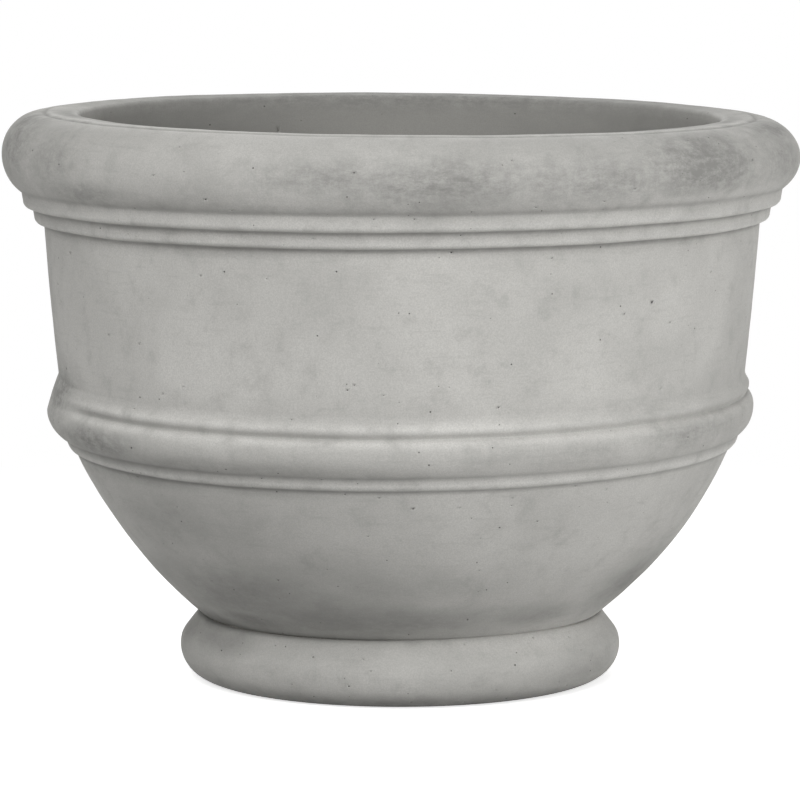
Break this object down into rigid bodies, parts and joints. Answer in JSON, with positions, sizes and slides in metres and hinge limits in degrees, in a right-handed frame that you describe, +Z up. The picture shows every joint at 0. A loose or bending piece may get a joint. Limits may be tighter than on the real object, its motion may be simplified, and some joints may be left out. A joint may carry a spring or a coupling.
{
  "type": "flower pot",
  "caption": "Round cast stone floor planter with a rolled rim, stepped mouldings, a half-round band on a rounded bowl and a ring foot; lift-out plug closes the floor drain.",
  "frame": {"origin": "on the ground, at the middle of the foot's underside", "axes": "+Z up along the pot's axis; +X and +Y level, with the picture taken from -Y"},
  "size_m": [0.762, 0.762, 0.5443],
  "materials": {
    "cast_stone": "matte, fine-grained, pinholed",
    "mortar": "matte, sandy",
    "bar_steel": "galvanised bar",
    "dowel_steel": "stainless bar",
    "drain_plastic": "grey moulded plastic",
    "plug_rubber": "black moulded rubber"
  },
  "bodies": {
    "pot": {"bowl": "cast_stone", "pedestal_foot": "cast_stone", "setting_bed": "mortar", "locating_dowels": "dowel_steel", "drain_sleeve": "drain_plastic", "drain_strainer": "drain_plastic", "rim_hoop": "bar_steel", "shoulder_hoop": "bar_steel", "band_hoop": "bar_steel", "belly_hoop": "bar_steel", "floor_hoop": "bar_steel", "foot_hoop": "bar_steel", "wall_rib_1": "bar_steel", "wall_rib_2": "bar_steel", "wall_rib_3": "bar_steel", "wall_rib_4": "bar_steel", "wall_rib_5": "bar_steel", "wall_rib_6": "bar_steel", "wall_rib_7": "bar_steel", "wall_rib_8": "bar_steel"},
    "plug": {"drain_plug": "plug_rubber"}
  },
  "joints": [
    {"name": "plug_lift", "type": "slide", "parent": "pot", "child": "plug", "axis": [0, 0, 1], "range_m": [0, 0.48]}
  ]
}
